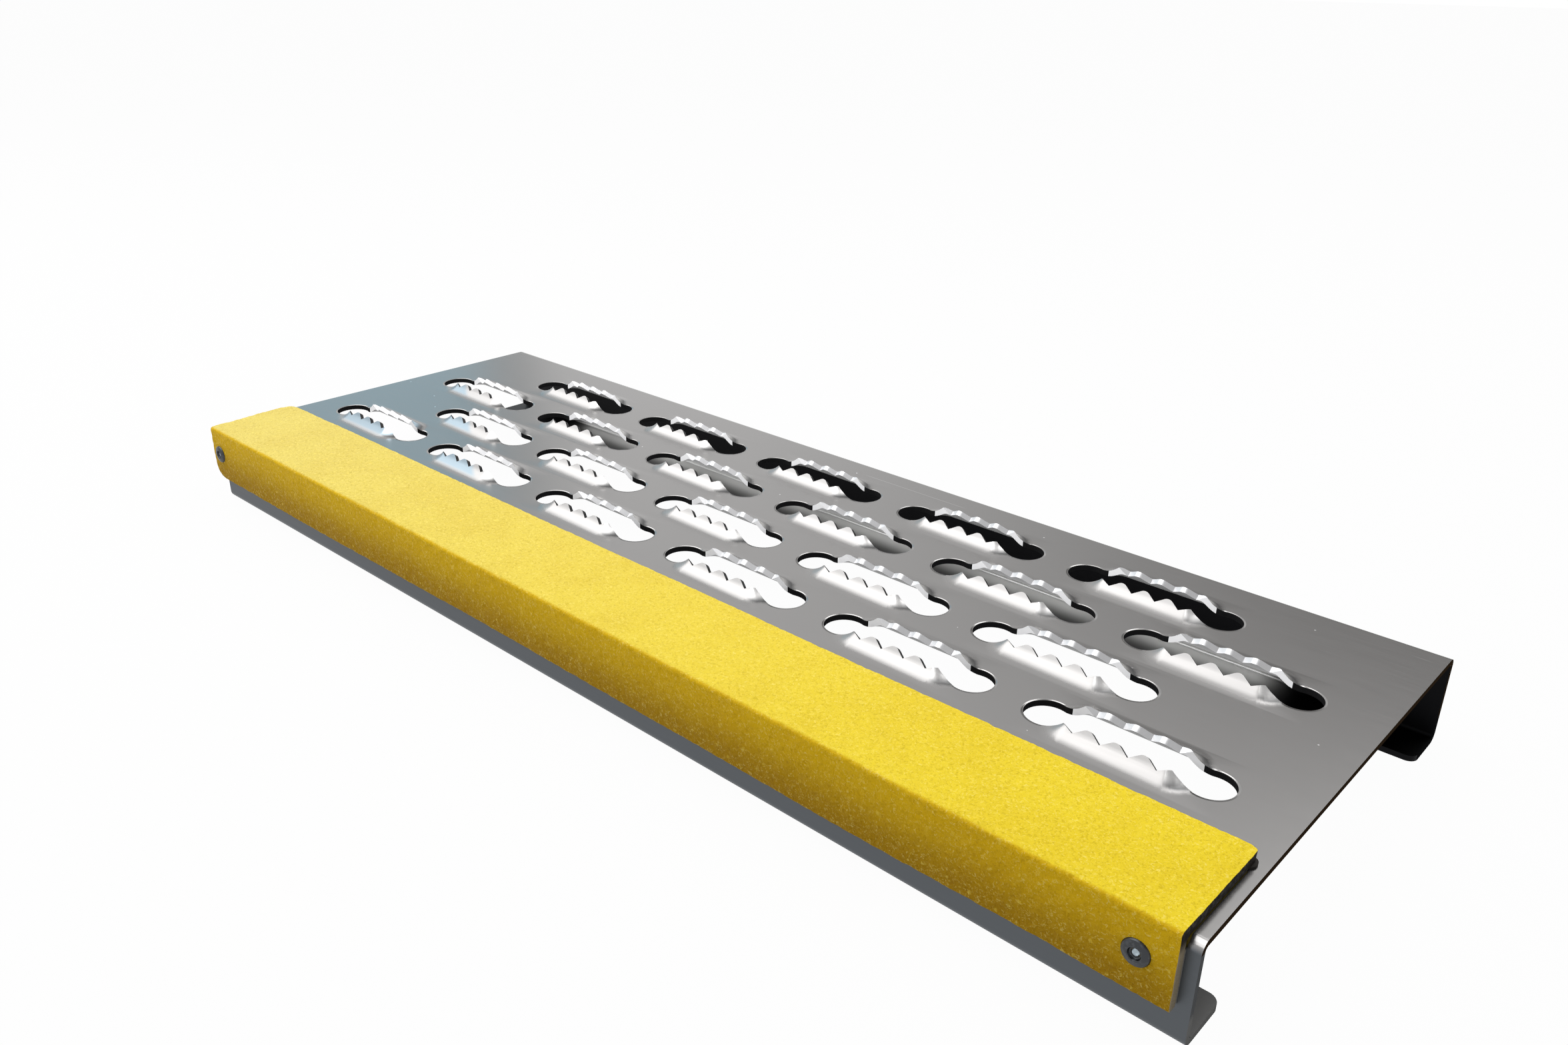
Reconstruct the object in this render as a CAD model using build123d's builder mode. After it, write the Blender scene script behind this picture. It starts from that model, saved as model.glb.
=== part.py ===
from build123d import *
from math import cos, radians, sin, tan
import os

# Stair tread, in millimetres. X runs along it, Y from its front edge to its rear one and Z upwards. The
# origin is the middle of its footprint, rivet heads included, on the floor that the two lips rest on.

# Folded plate.
tread_length = 600.0
tread_depth = 219.0
tread_height = 39.0
sheet = 2.5
bend_inside = 1.5
front_lip = 24.0
rear_lip = 23.0
lip_corner = 4.0
left_notch = 12.0

# Raised slots, in four staggered rows. A long row holds as many as leave enough plain sheet at both ends.
end_land = 12.0
row_count = 4
slot_pitch = 95.35
slot_shift = -1.8
row_pitch = 36.85
first_row_from_front = 72.5
slot_length = 80.0
lobe_radius = 8.75

# Raised middle of a slot: its straight walls, the wide bend that they rise from and the teeth on its edges.
raised_length = 49.4
raised_width = 23.6
raised_corner = 6.5
raised_height = 6.2
wall_slope = 51.0
foot_radius = 11.0
plain_rim = 0.5
tooth_pitch = 10.64
gullets_per_side = 4
tooth_tip_radius = 3.0
gullet_from_middle = 9.5
tooth_rise = 3.8
end_tooth_rise = 2.7
throat_width = 9.6
neck_width = 14.8
neck_from_middle = 24.0

# Grit coated angle over the front edge, and the adhesive under it.
nosing_wall = 3.2
nosing_top = 50.6
nosing_front = 28.5
nosing_edge_radius = 1.5
nosing_inner_radius = 1.0
nosing_right_inset = 4.5
nosing_left_inset = 5.0
nosing_left_skew = 4.5
nosing_rear_left_round = 8.0
nosing_rear_right_round = 3.0
nosing_low_left_round = 9.0
adhesive = 0.8
adhesive_inset = 1.0
adhesive_left_inset = 14.0
squeeze_out_length = 6.0
squeeze_out_width = 2.4

# Blind rivets through the front flange.
rivet_inset = 17.0
rivet_shank = 4.8
rivet_clearance = 0.05
rivet_head = 9.6
rivet_head_height = 1.4
rivet_rim = 0.4
recess_mouth = 4.4
recess_depth = 1.6
bulb_width = 7.4
bulb_length = 4.0
bulb_chamfer = 0.9
mandrel_width = 2.8
mandrel_clearance = 0.05
mandrel_head = 4.2
mandrel_head_length = 2.4
mandrel_chamfer = 0.7
mandrel_break = 0.1
mandrel_tip = 0.4

# Places that follow from the sizes above. Cutters run past what they cut, edges are picked by their place to
# within a touch, and the patch around a slot ends a plain rim beyond its lobes and the bend at its foot.
past = 1.0
touch = 0.01
bend_outside = bend_inside + sheet
overhang = adhesive + nosing_wall + rivet_head_height
front_face = (overhang - tread_depth) / 2
rear_face = (overhang + tread_depth) / 2
right_end = tread_length / 2
left_end = -tread_length / 2
top_underside = tread_height - sheet
nosing_face = front_face - adhesive - nosing_wall
nosing_crown = tread_height + adhesive + nosing_wall
nosing_rear = nosing_face + nosing_top
nosing_foot = nosing_crown - nosing_front
nosing_right = right_end - nosing_right_inset
nosing_left = left_end + nosing_left_inset
rivet_span = tread_length - 2 * rivet_inset
rivet_height = (nosing_crown + nosing_foot) / 2
grip = nosing_wall + adhesive + sheet
slope = radians(wall_slope)
foot_reach = foot_radius * tan(slope / 2)
lobe_middle = slot_length / 2 - lobe_radius
last_gullet = (gullets_per_side - 1) / 2 * tooth_pitch
patch_length = slot_length + 2 * plain_rim
patch_width = raised_width + 2 * (foot_reach + plain_rim)
slots_in_long_row = 1 + int((tread_length - 2 * end_land - slot_length) / slot_pitch)


def slot_places():
    """Middle of every slot on the plate's top: long rows and, half a pitch along, rows one slot shorter."""
    places = []
    for row in range(row_count):
        count = slots_in_long_row - row % 2
        y = front_face + first_row_from_front + row * row_pitch
        for k in range(count):
            x = slot_shift + (k - (count - 1) / 2) * slot_pitch
            places.append((x, y))
    return places


def toothed_edge():
    """Corners of one toothed edge, lying in its sloped wall, with the radius of each corner between the ends.

    The second coordinate is the distance up the slope from the foot."""
    gullet = (raised_width / 2 - gullet_from_middle) / cos(slope)
    lobe_edge = (raised_width / 2 - lobe_radius) * cos(slope)
    half = gullets_per_side / 2 * tooth_pitch
    points, radii = [(-lobe_middle, lobe_edge)], []
    for k in range(gullets_per_side + 1):
        rise = end_tooth_rise if k in (0, gullets_per_side) else tooth_rise
        points.append((-half + k * tooth_pitch, gullet + rise))
        radii.append(tooth_tip_radius)
        points.append((-half + (k + 0.5) * tooth_pitch, gullet))
        radii.append(0)
    points[-1] = (lobe_middle, lobe_edge)
    return points, radii[:-1]


def rivet_section(side):
    """Section plane of one rivet: its middle on the nosing's front, X along the tread and Y outwards."""
    middle = (side * rivet_span / 2, nosing_face, rivet_height)
    return Plane(origin=middle, x_dir=(1, 0, 0), z_dir=(0, 0, -1))


def rivet_axis(side):
    """Centre line of one rivet, pointing outwards."""
    return Axis((side * rivet_span / 2, nosing_face, rivet_height), (0, -1, 0))


def circles(piece, radius):
    """Round edges of a piece that have this radius."""
    round_edges = piece.edges().filter_by(GeomType.CIRCLE)
    return round_edges.filter_by(lambda e: abs(e.radius - radius) < touch)


def foot_edges(piece, height):
    """Edges of a slot's raised middle, or of its hollow, where it meets the flat sheet at this height."""
    level = piece.edges().filter_by_position(Axis.Z, height - touch, height + touch)
    inner = level.filter_by(lambda e: abs(e.center().Y) < patch_width / 2 - touch)
    return inner.filter_by(lambda e: abs(e.center().X) < patch_length / 2 - touch)


# What the punch takes out of one slot: a round lobe at each end, a neck that widens to it, and a throat
# between two rows of teeth, cut square to the sloped walls. An end tooth is lower and runs out to the lobe.
with BuildPart() as punch:
    with BuildSketch(Plane.XY.offset(-sheet - past)):
        with Locations((-lobe_middle, 0), (lobe_middle, 0)):
            Circle(lobe_radius)
        for side in (-1, 1):
            with BuildLine():
                Polyline(
                    (side * last_gullet, neck_width / 2),
                    (side * neck_from_middle, neck_width / 2),
                    (side * lobe_middle, lobe_radius),
                    (side * lobe_middle, -lobe_radius),
                    (side * neck_from_middle, -neck_width / 2),
                    (side * last_gullet, -neck_width / 2),
                    close=True,
                )
            make_face()
        Rectangle(2 * last_gullet, throat_width)
    extrude(amount=raised_height + sheet + 2 * past)

    for side in (-1, 1):
        wall = Plane(
            origin=(0, side * raised_width / 2, 0),
            x_dir=(-side, 0, 0),
            z_dir=(0, side * sin(slope), cos(slope)),
        )
        points, radii = toothed_edge()
        beyond = raised_width / 2 / cos(slope)
        with BuildSketch(wall) as teeth:
            with BuildLine():
                FilletPolyline(*points, radius=radii)
                Polyline(
                    points[-1],
                    (points[-1][0], beyond),
                    (points[0][0], beyond),
                    points[0],
                )
            make_face()
        extrude(amount=past)
        extrude(teeth.sketch, amount=-sheet - past)

# One formed slot and the patch of sheet around it, with the sheet's top at zero height: a raised middle, its
# hollow one sheet thickness inside, a bend along the foot of each, and the punched opening.
with BuildPart() as formed_slot:
    with BuildSketch():
        Rectangle(patch_length, patch_width)
    extrude(amount=-sheet)
    with BuildSketch():
        RectangleRounded(raised_length, raised_width, raised_corner)
    extrude(amount=raised_height, taper=90 - wall_slope)

    hollow_inset = sheet * tan(slope / 2)
    hollow_length = raised_length - 2 * hollow_inset
    hollow_width = raised_width - 2 * hollow_inset
    with BuildSketch(Plane.XY.offset(-sheet)):
        RectangleRounded(hollow_length, hollow_width, raised_corner - hollow_inset)
    extrude(amount=raised_height, taper=90 - wall_slope, mode=Mode.SUBTRACT)

    fillet(foot_edges(formed_slot, 0), radius=foot_radius)
    fillet(foot_edges(formed_slot, -sheet), radius=foot_radius + sheet)
    add(punch.part, mode=Mode.SUBTRACT)

# Holes for the two rivets, through all that they clamp.
with BuildPart() as rivet_holes:
    front_view = Plane(origin=(0, nosing_face - past, rivet_height), x_dir=(-1, 0, 0), z_dir=(0, 1, 0))
    with BuildSketch(front_view):
        with Locations((-rivet_span / 2, 0), (rivet_span / 2, 0)):
            Circle(rivet_shank / 2 + rivet_clearance)
    extrude(amount=grip + 2 * past)

# Plate: the folded section, drawn along its outside and thickened inwards, with the formed slots set in.
with BuildPart() as tread_plate:
    with BuildSketch(Plane.YZ):
        with BuildLine():
            FilletPolyline(
                (front_face + front_lip, 0),
                (front_face, 0),
                (front_face, tread_height),
                (rear_face, tread_height),
                (rear_face, 0),
                (rear_face - rear_lip, 0),
                radius=bend_outside,
            )
            offset(amount=sheet, side=Side.RIGHT)
        make_face()
    extrude(amount=tread_length / 2, both=True)

    # Front flange and lip stop short of the left end.
    with BuildSketch(Plane.YZ.offset(left_end)):
        with BuildLine():
            Polyline(
                (front_face - past, -past),
                (front_face + front_lip + past, -past),
                (front_face + front_lip + past, top_underside),
                (front_face + bend_outside, top_underside),
                (front_face + bend_outside, tread_height + past),
                (front_face - past, tread_height + past),
                close=True,
            )
        make_face()
    extrude(amount=left_notch, mode=Mode.SUBTRACT)

    # Free corners of both lips.
    upright = tread_plate.edges().filter_by(Axis.Z)
    fillet(upright.filter_by(lambda e: e.center().Z < sheet), radius=lip_corner)

    # Patches of the top make way for the formed slots.
    with BuildSketch(Plane.XY.offset(top_underside - past)):
        with Locations(*slot_places()):
            Rectangle(patch_length, patch_width)
    extrude(amount=sheet + 2 * past, mode=Mode.SUBTRACT)
    with Locations(*[(x, y, tread_height) for x, y in slot_places()]):
        add(formed_slot.part)
    add(rivet_holes.part, mode=Mode.SUBTRACT)

# Angle over the front edge. It is what its section, its plan and its front view have in common.
with BuildPart() as nosing:
    inner_face = nosing_face + nosing_wall
    inner_crown = nosing_crown - nosing_wall
    with BuildSketch(Plane.YZ.offset(nosing_left - past)) as angle_section:
        with BuildLine():
            Polyline(
                (nosing_rear, inner_crown),
                (nosing_rear, nosing_crown),
                (nosing_face, nosing_crown),
                (nosing_face, nosing_foot),
                (inner_face, nosing_foot),
                (inner_face, inner_crown),
                close=True,
            )
        make_face()
        outer_corner = angle_section.vertices().sort_by_distance((nosing_face, nosing_crown))[0]
        fillet(outer_corner, radius=nosing_edge_radius)
        inner_corner = angle_section.vertices().sort_by_distance((inner_face, inner_crown))[0]
        fillet(inner_corner, radius=nosing_inner_radius)
    extrude(amount=nosing_right - nosing_left + 2 * past)

    # Plan: hand-cut left end out of square, both rear corners rounded.
    with BuildSketch():
        with BuildLine():
            FilletPolyline(
                (nosing_left + nosing_left_skew, nosing_face),
                (nosing_right, nosing_face),
                (nosing_right, nosing_rear),
                (nosing_left, nosing_rear),
                close=True,
                radius=(0, 0, nosing_rear_right_round, nosing_rear_left_round),
            )
        make_face()
    extrude(amount=nosing_crown, mode=Mode.INTERSECT)

    # Low left corner of the front leg, rounded off.
    low_left = (nosing_left + nosing_left_skew, nosing_face + nosing_wall / 2, nosing_foot)
    fillet(nosing.edges().sort_by_distance(low_left)[0], radius=nosing_low_left_round)
    add(rivet_holes.part, mode=Mode.SUBTRACT)

# Adhesive on the plate's top, with a little squeezed out past the nosing's rear right corner.
with BuildPart() as top_adhesive:
    bed_left = left_end + adhesive_left_inset
    bed_right = nosing_right - adhesive_inset
    bed_rear = nosing_rear - adhesive_inset
    bed_front = front_face + bend_outside
    with BuildSketch(Plane.XY.offset(tread_height)):
        with Locations((bed_left, bed_front)):
            Rectangle(bed_right - bed_left, bed_rear - bed_front, align=(Align.MIN, Align.MIN))
        with Locations((nosing_right - squeeze_out_width / 2, bed_rear - squeeze_out_length / 2)):
            Ellipse(squeeze_out_width, squeeze_out_length / 2)
    extrude(amount=adhesive)

# Adhesive on the front flange, cleared around both rivets.
with BuildPart() as front_adhesive:
    strip_top = tread_height - bend_outside
    strip_foot = nosing_foot + adhesive_inset
    strip_left = left_end + left_notch + adhesive_inset
    with BuildSketch(Plane.XZ.offset(-front_face)):
        with Locations((strip_left, strip_foot)):
            Rectangle(nosing_right - strip_left, strip_top - strip_foot, align=(Align.MIN, Align.MIN))
    extrude(amount=adhesive)
    add(rivet_holes.part, mode=Mode.SUBTRACT)

pieces = {
    "tread_plate": tread_plate,
    "nosing": nosing,
    "top_adhesive": top_adhesive,
    "front_adhesive": front_adhesive,
}

# Blind rivets, turned about their axes: a domed head with an open middle, a shank and the upset blind end,
# and the mandrel that stayed inside.
bore = mandrel_width / 2 + mandrel_clearance
recess_floor = rivet_head_height - recess_depth
blind_end = -grip - bulb_length
for name, side in (("left_rivet", -1), ("right_rivet", 1)):
    with BuildPart() as body:
        with BuildSketch(rivet_section(side)):
            with BuildLine():
                dome = TangentArc((0, rivet_head_height), (rivet_head / 2, rivet_rim), tangent=(1, 0))
                Polyline(
                    dome @ 1,
                    (rivet_head / 2, 0),
                    (rivet_shank / 2, 0),
                    (rivet_shank / 2, -grip),
                    (bulb_width / 2, -grip),
                    (bulb_width / 2, blind_end),
                    (0, blind_end),
                    dome @ 0,
                )
            make_face()
            with Locations((0, recess_floor)):
                Rectangle(recess_mouth, 2 * recess_depth, align=(Align.CENTER, Align.MIN), mode=Mode.SUBTRACT)
            with Locations((0, blind_end)):
                Rectangle(2 * bore, 2 * grip, align=(Align.CENTER, Align.MIN), mode=Mode.SUBTRACT)
        revolve(axis=rivet_axis(side))
        chamfer(circles(body, bulb_width / 2), length=bulb_chamfer)
    pieces[name + "_body"] = body

    with BuildPart() as mandrel:
        with BuildSketch(rivet_section(side)):
            with BuildLine():
                Polyline(
                    (0, mandrel_break + mandrel_tip),
                    (mandrel_width / 2, mandrel_break),
                    (mandrel_width / 2, blind_end),
                    (mandrel_head / 2, blind_end),
                    (mandrel_head / 2, blind_end - mandrel_head_length),
                    (0, blind_end - mandrel_head_length),
                    close=True,
                )
            make_face()
        revolve(axis=rivet_axis(side))
        far_rim = circles(mandrel, mandrel_head / 2).sort_by(Axis.Y)[-1]
        chamfer(far_rim, length=mandrel_chamfer)
    pieces[name + "_mandrel"] = mandrel

os.makedirs("parts", exist_ok=True)
for name, piece in pieces.items():
    piece.part.label = name
    export_step(piece.part, f"parts/{name}.step")
    print(name, round(piece.part.volume, 1), "mm3")
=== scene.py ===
# %% [markdown]
# A folded stair tread with a gritted nosing
#
# The real thing is one folded sheet of metal with raised, toothed slots for grip, and a yellow
# grit-coated angle glued and riveted over its front edge. Its solids are already made and packed. This
# lesson dresses them: it gives the sheet its satin skin and insides with painted dark shade, moulds the
# grit, turns the rivets, and sets up the camera and the light of the photograph.

# %% Load the solids
import bpy
import numpy as np
from math import cos, pi, radians, sin
from mathutils import Matrix, Vector


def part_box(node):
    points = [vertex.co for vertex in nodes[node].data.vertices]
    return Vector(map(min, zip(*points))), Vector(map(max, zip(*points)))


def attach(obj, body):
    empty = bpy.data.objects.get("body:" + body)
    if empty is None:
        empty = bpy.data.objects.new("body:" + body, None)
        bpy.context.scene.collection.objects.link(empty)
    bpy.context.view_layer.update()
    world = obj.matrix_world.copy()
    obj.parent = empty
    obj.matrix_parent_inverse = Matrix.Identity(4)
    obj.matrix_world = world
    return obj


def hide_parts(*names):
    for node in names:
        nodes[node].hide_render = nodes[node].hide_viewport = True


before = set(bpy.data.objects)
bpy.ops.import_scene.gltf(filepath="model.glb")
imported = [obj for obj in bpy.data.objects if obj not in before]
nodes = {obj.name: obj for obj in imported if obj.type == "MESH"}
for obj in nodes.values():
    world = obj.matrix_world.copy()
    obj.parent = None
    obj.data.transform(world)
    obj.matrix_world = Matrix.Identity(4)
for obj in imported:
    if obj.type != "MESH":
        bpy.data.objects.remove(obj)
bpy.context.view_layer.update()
mm = 0.001
print("solids:", ", ".join(sorted(nodes)))

# %% [markdown]
# The camera
#
# The photograph's perspective fixes where its camera stood. Its focal length is known in pixels of the
# photograph, so the lens follows from the width of the frame. The camera looks along the tread from its
# right-hand front corner, a little from above and turned by less than a degree.

# %% Camera
photo_width = 2352
photo_focal = 1887.66
film_width = 36.0
camera_place = Vector((0.394849, -0.385099, 0.286052))
camera_azimuth, camera_dip, camera_roll = radians(-42.306), radians(24.098), radians(0.739)


def aim(azimuth, dip, roll):
    """Rotation of a camera whose line of sight is (sin a cos d, cos a cos d, -sin d), rolled about it."""
    ahead = Vector((sin(azimuth) * cos(dip), cos(azimuth) * cos(dip), -sin(dip)))
    level = ahead.cross(Vector((0, 0, 1))).normalized()
    above = level.cross(ahead)
    right = cos(roll) * level + sin(roll) * above
    up = cos(roll) * above - sin(roll) * level
    return Matrix((right, up, -ahead)).transposed()


lens = bpy.data.cameras.new("photo_camera")
lens.sensor_fit = "HORIZONTAL"
lens.sensor_width = film_width
lens.lens = film_width * photo_focal / photo_width
lens.clip_start = 0.01
camera = bpy.data.objects.new("photo_camera", lens)
turn = aim(camera_azimuth, camera_dip, camera_roll).to_4x4()
camera.matrix_world = Matrix.Translation(camera_place) @ turn
bpy.context.scene.collection.objects.link(camera)
bpy.context.scene.camera = camera
bpy.context.scene.view_settings.view_transform = "Standard"
print("lens", round(lens.lens, 2), "mm")

# %% [markdown]
# Short names for shader nodes
#
# A material is a small network of nodes. These helpers add one node each and take a number, a colour or
# another node's output for every input, so that a finish reads from top to bottom like a recipe.

# %% Node helpers


def node(tree, kind, settings=None, **inputs):
    """Adds a shader node, sets its options and fills or links its inputs, named with _ for a space."""
    made = tree.nodes.new("ShaderNode" + kind)
    for key, value in (settings or {}).items():
        setattr(made, key, value)
    for key, value in inputs.items():
        feed(tree, made.inputs[key.replace("_", " ")], value)
    return made


def feed(tree, socket, value):
    """Links an output to a socket, or writes a plain value on it."""
    if isinstance(value, bpy.types.NodeSocket):
        tree.links.new(value, socket)
    else:
        socket.default_value = value


def calc(tree, operation, first, second=0.0):
    """One step of arithmetic on one or two numbers."""
    made = node(tree, "Math", {"operation": operation})
    feed(tree, made.inputs[0], first)
    feed(tree, made.inputs[1], second)
    return made.outputs[0]


def product(tree, first, *others):
    """Numbers multiplied together."""
    for other in others:
        first = calc(tree, "MULTIPLY", first, other)
    return first


def blend(tree, share, first, second, mode="MIX"):
    """Colour that goes from the first to the second as the share goes from 0 to 1."""
    made = node(tree, "Mix", {"data_type": "RGBA", "blend_type": mode})
    feed(tree, made.inputs[0], share)
    for socket, value in ((made.inputs[6], first), (made.inputs[7], second)):
        feed(tree, socket, value if isinstance(value, bpy.types.NodeSocket) else (*value, 1.0))
    return made.outputs[2]


def ease(tree, value, low, high, start=0.0, end=1.0):
    """Smooth step of a number: start below low, end above high."""
    made = node(tree, "MapRange", {"interpolation_type": "SMOOTHSTEP"}, Value=value)
    for name, limit in (("From Min", low), ("From Max", high), ("To Min", start), ("To Max", end)):
        feed(tree, made.inputs[name], limit)
    return made.outputs[0]


def along(tree, vector, direction):
    """Length of a vector along a direction."""
    made = node(tree, "VectorMath", {"operation": "DOT_PRODUCT"})
    feed(tree, made.inputs[0], vector)
    made.inputs[1].default_value = direction
    return made.outputs["Value"]


# %% [markdown]
# Floor, backdrop and light
#
# The photograph is cut out on white. The floor is a pale diffuse plane that what is seen straight, in
# metal or through glass, finds nearly white, while it still takes a faint shadow. The world is white in
# the same way.
#
# A sheet of steel shows what stands round it, so the world that metal sees has a low bluish pane at the
# back on the left and falls off to grey on the right, as the photographer's room did.

# %% Floor
floor_half = 12.0
floor_level = -0.1 * mm
floor_grey, floor_white_share = 0.62, 0.97

floor_ways = ((-1, -1), (1, -1), (1, 1), (-1, 1))
floor_corners = [(x * floor_half, y * floor_half, floor_level) for x, y in floor_ways]
floor_mesh = bpy.data.meshes.new("floor")
floor_mesh.from_pydata(floor_corners, [], [(0, 1, 2, 3)])
floor = bpy.data.objects.new("floor", floor_mesh)
bpy.context.scene.collection.objects.link(floor)


def seen_share(tree):
    """1 for a ray from the camera, off metal or through glass, and 0 for one that only carries light."""
    path = node(tree, "LightPath").outputs
    seen = calc(tree, "MAXIMUM", path["Is Camera Ray"], path["Is Glossy Ray"])
    return calc(tree, "MAXIMUM", seen, path["Is Transmission Ray"])


def floor_finish():
    """Pale matt floor that is nearly white where it is seen."""
    paint = bpy.data.materials.new("pale_floor")
    paint.use_nodes = True
    tree = paint.node_tree
    tree.nodes.clear()
    matt = node(tree, "BsdfDiffuse", Color=(floor_grey, floor_grey, floor_grey, 1))
    white = node(tree, "Emission", Color=(1, 1, 1, 1), Strength=1.0)
    share = product(tree, seen_share(tree), floor_white_share)
    mixed = node(tree, "MixShader", Fac=share)
    tree.links.new(matt.outputs[0], mixed.inputs[1])
    tree.links.new(white.outputs[0], mixed.inputs[2])
    node(tree, "OutputMaterial", Surface=mixed.outputs[0])
    return paint


floor_mesh.materials.append(floor_finish())

# %% World
room_light = 0.42
pane_edge, pane_frame = radians(-56.3), radians(-53.9)
pane_foot, pane_head = (0.17, 0.20), (0.41, 0.44)
pane_colour = (0.56, 0.80, 0.92)
frame_colour = (0.56, 0.56, 0.56)
edge_blur = 0.006
dusk_middle = radians(-31.0)
dusk_fade, dusk_top = (-0.26, 0.34), (0.40, 0.64)
dusk_colour = (0.31, 0.305, 0.30)
side_fade, side_foot = (-0.14, 0.02), (0.45, 0.65)
side_colour = (0.34, 0.34, 0.34)
behind_fade = (0.0, 0.2)


def room(tree):
    """What metal sees: white, with a bluish pane and its frame back left, and a grey fall-off on the right.

    Every share is a smooth step of a direction's length along some other direction. A direction lies left
    of azimuth a when its length along (-cos a, sin a, 0) is above zero."""
    way = node(tree, "TexCoord").outputs["Generated"]
    sideways, backwards, rise = (along(tree, way, axis) for axis in ((1, 0, 0), (0, 1, 0), (0, 0, 1)))
    behind = ease(tree, backwards, *behind_fade)
    beside = product(tree, ease(tree, sideways, *side_fade), ease(tree, rise, *side_foot))
    colour = blend(tree, beside, (1, 1, 1), side_colour)
    past_middle = along(tree, way, (cos(dusk_middle), -sin(dusk_middle), 0))
    dusk = product(tree, ease(tree, past_middle, *dusk_fade), ease(tree, rise, *dusk_top, 1.0, 0.0), behind)
    colour = blend(tree, dusk, colour, dusk_colour)
    sill = product(tree, ease(tree, rise, *pane_foot), ease(tree, rise, *pane_head, 1.0, 0.0), behind)
    for edge, tint in ((pane_frame, frame_colour), (pane_edge, pane_colour)):
        left = ease(tree, along(tree, way, (-cos(edge), sin(edge), 0)), -edge_blur, edge_blur)
        colour = blend(tree, product(tree, left, sill), colour, tint)
    return colour


world = bpy.data.worlds.new("studio")
bpy.context.scene.world = world
world.use_nodes = True
sky = world.node_tree
sky.nodes.clear()
glossy = node(sky, "LightPath").outputs["Is Glossy Ray"]
plain = blend(sky, seen_share(sky), (room_light,) * 3, (1, 1, 1))
background = node(sky, "Background", Color=blend(sky, glossy, plain, room(sky)), Strength=1.0)
node(sky, "OutputWorld", Surface=background.outputs[0])

# %% [markdown]
# The lamps
#
# A large soft lamp hangs over the left half of the tread and beyond it, and a smaller one stands behind
# on the right. Seen in the rounded bends they become the long bright lines of the photograph. A card in
# front lights nothing but metal, so the nosing and the floor stay as they are.

# %% Lamps


def lamp(name, place, target, width, depth, power, only_metal=False):
    """Oblong soft lamp that shines from a place at a target, and on metal alone if it is asked to."""
    light = bpy.data.lights.new(name, "AREA")
    light.shape = "RECTANGLE"
    light.size, light.size_y = width, depth
    light.energy = power
    thing = bpy.data.objects.new(name, light)
    thing.matrix_world = Matrix.Translation(Vector(place)) @ (
        (Vector(place) - Vector(target)).to_track_quat("Z", "Y").to_matrix().to_4x4()
    )
    thing.visible_camera = False
    thing.visible_diffuse = not only_metal
    bpy.context.scene.collection.objects.link(thing)
    return thing


tread_middle = (0.0, 0.0, 0.04)
lamp("overhead_softbox", (-0.85, -0.2, 1.05), (-0.85, -0.2, 0.0), 1.9, 0.85, 14.8)
lamp("front_card", (-1.15, -0.975, 1.05), (-1.15, -0.975, 0.0), 2.5, 0.7, 11.5, only_metal=True)
lamp("rear_softbox", (0.35, 0.9, 1.3), tread_middle, 0.8, 0.8, 7.0)

# %% [markdown]
# Meshes from arrays
#
# Every new surface is worked out as whole arrays and handed to the mesh at once. Faces of a closed
# surface should point outwards, and its signed volume tells: the sum of a . (b x c) / 6 over its
# triangles is positive when they do.

# %% Mesh helpers
merge_distance = 0.001 * mm


def signed_volume(points, faces):
    """Volume inside a closed surface of triangles or quads, negative if its faces point inwards."""
    total = 0.0
    for k in range(1, faces.shape[1] - 1):
        a, b, c = points[faces[:, 0]], points[faces[:, k]], points[faces[:, k + 1]]
        total += np.einsum("ij,ij->i", a, np.cross(b, c)).sum() / 6
    return total


def piece(name, points, face_lists, crease=35.0):
    """Object of one mesh from points in metres and arrays of faces, smooth except across sharp edges."""
    mesh = bpy.data.meshes.new(name)
    mesh.from_pydata(points.tolist(), [], [f for faces in face_lists for f in faces.tolist()])
    mesh.shade_smooth()
    mesh.set_sharp_from_angle(angle=radians(crease))
    made = bpy.data.objects.new(name, mesh)
    bpy.context.scene.collection.objects.link(made)
    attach(made, "root")
    return made


def merged(points, triangles):
    """Points and triangles with the points that coincide made one, less the triangles that collapse."""
    grid = np.round(points / merge_distance).astype(np.int64)
    _, first, same = np.unique(grid, axis=0, return_index=True, return_inverse=True)
    triangles = same.reshape(-1)[triangles]
    whole = np.all(triangles != np.roll(triangles, 1, axis=1), axis=1)
    return points[first], triangles[whole]


def rounded(corners, steps=6):
    """Outline through corners (a, b, radius), each turned into an arc.

    An arc starts and ends radius / tan(half the angle) from its corner and goes round its centre."""
    spots = []
    last = len(corners) - 1
    for k, (a, b, radius) in enumerate(corners):
        here = np.array((a, b))
        if radius == 0 or k in (0, last):
            spots.append(here)
            continue
        back = np.array(corners[k - 1][:2]) - here
        on = np.array(corners[k + 1][:2]) - here
        back, on = back / np.linalg.norm(back), on / np.linalg.norm(on)
        half = np.arccos(back @ on) / 2
        centre = here + (back + on) / np.linalg.norm(back + on) * radius / np.sin(half)
        first = here + back * radius / np.tan(half) - centre
        final = here + on * radius / np.tan(half) - centre
        swing = pi - 2 * half
        for share in np.linspace(0, 1, steps):
            arm = (np.sin((1 - share) * swing) * first + np.sin(share * swing) * final) / np.sin(swing)
            spots.append(centre + arm)
    return np.array(spots)


def spaced(outline, count):
    """The same outline as a given number of points, evenly spaced along it."""
    run = np.concatenate(([0], np.cumsum(np.linalg.norm(np.diff(outline, axis=0), axis=1))))
    stations = np.linspace(0, run[-1], count)
    return np.column_stack([np.interp(stations, run, outline[:, k]) for k in range(2)])
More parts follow.
